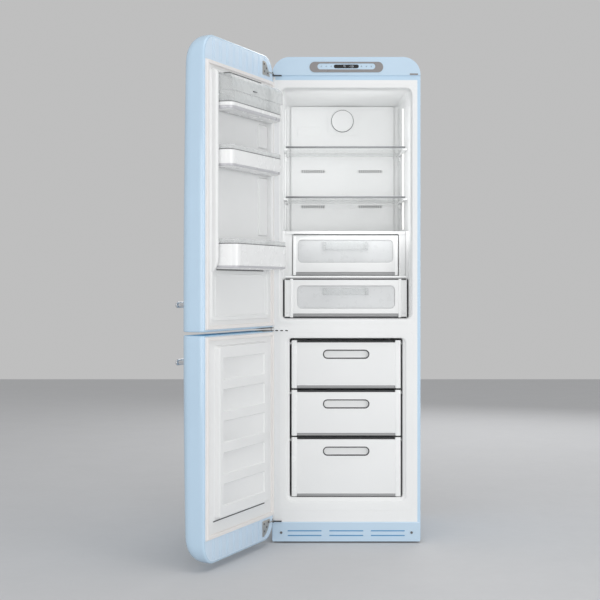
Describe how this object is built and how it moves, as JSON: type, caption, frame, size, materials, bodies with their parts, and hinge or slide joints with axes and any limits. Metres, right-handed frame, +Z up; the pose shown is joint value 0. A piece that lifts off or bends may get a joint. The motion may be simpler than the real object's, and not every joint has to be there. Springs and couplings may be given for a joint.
{
  "type": "bottom freezer refrigerator",
  "caption": "Tall refrigerator with rounded doors standing open, fridge compartment above, freezer drawers below and a control panel at the top.",
  "frame": {"origin": "on the floor, midway across the cabinet, in the plane of the cabinet's front edge", "axes": "+X to the right seen from the front, +Y into the cabinet, +Z up"},
  "size_m": [0.9471, 1.1651, 1.968],
  "materials": {
    "blue_enamel": "gloss",
    "blue_plastic": "satin",
    "white_liner": "satin",
    "white_moulding": "gloss",
    "clear_plastic": "gloss",
    "shelf_glass": "gloss",
    "insulation": "matte",
    "seal_rubber": "matte",
    "bezel_grey": "satin",
    "display_black": "gloss",
    "galvanised": "satin",
    "bracket_steel": "satin",
    "chrome": "polished",
    "black_shell": "satin",
    "copper_brown": "matte",
    "fin_aluminium": "satin",
    "black_plastic": "matte",
    "light_diffuser": "matte"
  },
  "bodies": {
    "cabinet": {"outer_wrapper": "blue_enamel", "rear_panel": "galvanised", "base_tray": "galvanised", "insulation_foam": "insulation", "fridge_liner": "white_liner", "freezer_liner": "white_liner", "control_fascia": "blue_plastic", "control_bezel": "bezel_grey", "control_plate": "blue_plastic", "display_window": "display_black", "air_duct_panel": "white_moulding", "fan_cover": "white_moulding", "led_strips": "light_diffuser", "drawer_cover_glass": "shelf_glass", "drawer_cover_frame": "white_moulding", "freezer_back_panel": "white_moulding", "evaporator": "fin_aluminium", "compressor": "black_shell", "condenser_coil": "copper_brown", "plinth": "blue_plastic", "plinth_screws": "chrome", "hinge_top": "bracket_steel", "hinge_middle": "bracket_steel", "hinge_bottom": "bracket_steel"},
    "upper_door": {"upper_door_skin": "blue_enamel", "upper_door_foam": "insulation", "upper_door_end_cap": "blue_plastic", "upper_door_liner": "white_liner", "upper_door_gasket": "seal_rubber", "upper_door_handle": "chrome", "upper_door_hinge_plate": "bracket_steel"},
    "lower_door": {"lower_door_skin": "blue_enamel", "lower_door_foam": "insulation", "lower_door_end_cap": "blue_plastic", "lower_door_liner": "white_liner", "lower_door_gasket": "seal_rubber", "lower_door_handle": "chrome", "lower_door_hinge_plate": "bracket_steel"},
    "balcony_top": {"balcony_top": "clear_plastic"},
    "dairy_lid": {"dairy_lid": "clear_plastic"},
    "balcony_middle": {"balcony_middle": "clear_plastic"},
    "balcony_bottom": {"balcony_bottom": "clear_plastic"},
    "shelf_upper": {"shelf_upper_glass": "shelf_glass", "shelf_upper_trims": "white_moulding"},
    "shelf_lower": {"shelf_lower_glass": "shelf_glass", "shelf_lower_trims": "white_moulding"},
    "fresh_drawer": {"fresh_drawer_bin": "clear_plastic", "fresh_drawer_front": "white_moulding"},
    "crisper": {"crisper_bin": "clear_plastic", "crisper_front": "white_moulding"},
    "freezer_drawer_top": {"freezer_drawer_top_bin": "white_moulding", "freezer_drawer_top_front": "white_moulding"},
    "freezer_drawer_middle": {"freezer_drawer_middle_bin": "white_moulding", "freezer_drawer_middle_front": "white_moulding"},
    "freezer_drawer_bottom": {"freezer_drawer_bottom_bin": "white_moulding", "freezer_drawer_bottom_front": "white_moulding"},
    "fridge_fan": {"fridge_fan": "black_plastic"},
    "foot_left": {"foot_left": "black_plastic"},
    "foot_right": {"foot_right": "black_plastic"},
    "rear_rollers": {"rear_rollers": "black_plastic"}
  },
  "joints": [
    {"name": "upper_door_hinge", "type": "hinge", "parent": "cabinet", "child": "upper_door", "pos_m": [-0.3, -0.016, 1.892], "axis": [0, 0, -1], "range_deg": [-113.4, 6.6]},
    {"name": "lower_door_hinge", "type": "hinge", "parent": "cabinet", "child": "lower_door", "pos_m": [-0.3, -0.016, 0.088], "axis": [0, 0, -1], "range_deg": [-113.4, 6.6]},
    {"name": "shelf_upper_slide", "type": "slide", "parent": "cabinet", "child": "shelf_upper", "axis": [0, -1, 0], "range_m": [0, 0.3]},
    {"name": "shelf_lower_slide", "type": "slide", "parent": "cabinet", "child": "shelf_lower", "axis": [0, -1, 0], "range_m": [0, 0.3]},
    {"name": "fresh_drawer_slide", "type": "slide", "parent": "cabinet", "child": "fresh_drawer", "axis": [0, -1, 0], "range_m": [0, 0.29]},
    {"name": "crisper_slide", "type": "slide", "parent": "cabinet", "child": "crisper", "axis": [0, -1, 0], "range_m": [0, 0.33]},
    {"name": "freezer_drawer_top_slide", "type": "slide", "parent": "cabinet", "child": "freezer_drawer_top", "axis": [0, -1, 0], "range_m": [0, 0.36]},
    {"name": "freezer_drawer_middle_slide", "type": "slide", "parent": "cabinet", "child": "freezer_drawer_middle", "axis": [0, -1, 0], "range_m": [0, 0.36]},
    {"name": "freezer_drawer_bottom_slide", "type": "slide", "parent": "cabinet", "child": "freezer_drawer_bottom", "axis": [0, -1, 0], "range_m": [0, 0.28]},
    {"name": "balcony_top_lift", "type": "slide", "parent": "upper_door", "child": "balcony_top", "axis": [0, 0, 1], "range_m": [0, 0.006]},
    {"name": "dairy_lid_hinge", "type": "hinge", "parent": "balcony_top", "child": "dairy_lid", "pos_m": [-0.40079, -0.29927, 1.823], "axis": [-0.3971, -0.9178, 0], "range_deg": [0, 80]},
    {"name": "balcony_middle_lift", "type": "slide", "parent": "upper_door", "child": "balcony_middle", "axis": [0, 0, 1], "range_m": [0, 0.02]},
    {"name": "balcony_bottom_lift", "type": "slide", "parent": "upper_door", "child": "balcony_bottom", "axis": [0, 0, 1], "range_m": [0, 0.02]},
    {"name": "fridge_fan_spin", "type": "hinge", "parent": "cabinet", "child": "fridge_fan", "pos_m": [0, 0.483, 1.771], "axis": [0, 1, 0], "continuous": true},
    {"name": "foot_left_turn", "type": "hinge", "parent": "cabinet", "child": "foot_left", "pos_m": [-0.25, 0.05, 0.02], "axis": [0, 0, 1], "continuous": true},
    {"name": "foot_right_turn", "type": "hinge", "parent": "cabinet", "child": "foot_right", "pos_m": [0.25, 0.05, 0.02], "axis": [0, 0, 1], "continuous": true},
    {"name": "rear_rollers_turn", "type": "hinge", "parent": "cabinet", "child": "rear_rollers", "pos_m": [0, 0.56, 0.02], "axis": [1, 0, 0], "continuous": true}
  ]
}
